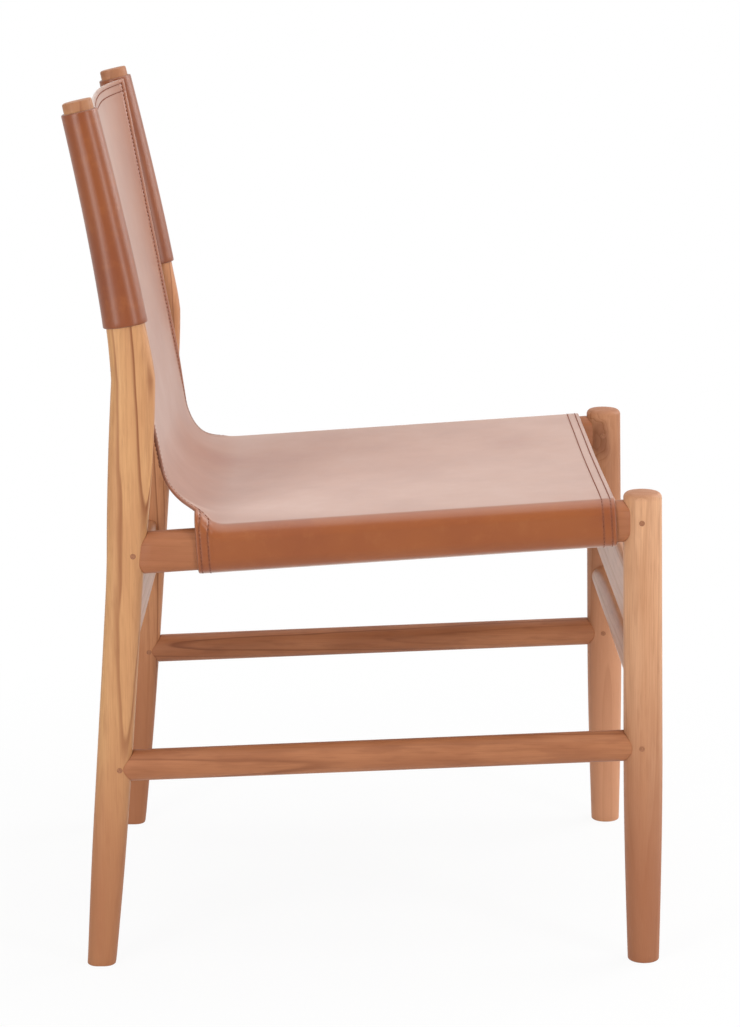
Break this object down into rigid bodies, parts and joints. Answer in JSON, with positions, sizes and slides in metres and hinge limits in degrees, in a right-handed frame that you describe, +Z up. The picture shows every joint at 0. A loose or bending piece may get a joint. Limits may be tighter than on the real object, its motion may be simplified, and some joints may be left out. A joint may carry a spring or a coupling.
{
  "type": "leather sling dining chair",
  "caption": "Wooden dining chair with a continuous leather sling for seat and back, wrapped over the side rails and held by sleeves on the rear posts.",
  "frame": {"origin": "on the floor, under the middle of the chair's box", "axes": "+Z up, the sitter faces -Y, +X to the sitter's left; the chair is symmetric about the plane X = 0"},
  "size_m": [0.4762, 0.5436, 0.808],
  "materials": {
    "teak": "satin oiled, long straight grain",
    "peg_wood": "satin oiled end grain",
    "leather": "smooth waxed saddle leather with a soft sheen",
    "thread": "waxed dark brown thread",
    "tack": "aged upholstery tack",
    "cut_edge": "raw cut edge"
  },
  "bodies": {
    "root": {"front_leg_left": "teak", "back_post_left": "teak", "side_rail_left": "teak", "side_stretcher_left": "teak", "front_leg_right": "teak", "back_post_right": "teak", "side_rail_right": "teak", "side_stretcher_right": "teak", "front_rail": "teak", "back_rail": "teak", "front_stretcher": "teak", "peg_side_rail_front_left": "peg_wood", "peg_side_rail_front_right": "peg_wood", "peg_side_rail_rear_left": "peg_wood", "peg_side_rail_rear_right": "peg_wood", "peg_side_stretcher_front_left": "peg_wood", "peg_side_stretcher_front_right": "peg_wood", "peg_side_stretcher_rear_left": "peg_wood", "peg_side_stretcher_rear_right": "peg_wood", "leather_sling": "leather", "back_sleeve_left": "leather", "back_sleeve_right": "leather"}
  },
  "joints": []
}
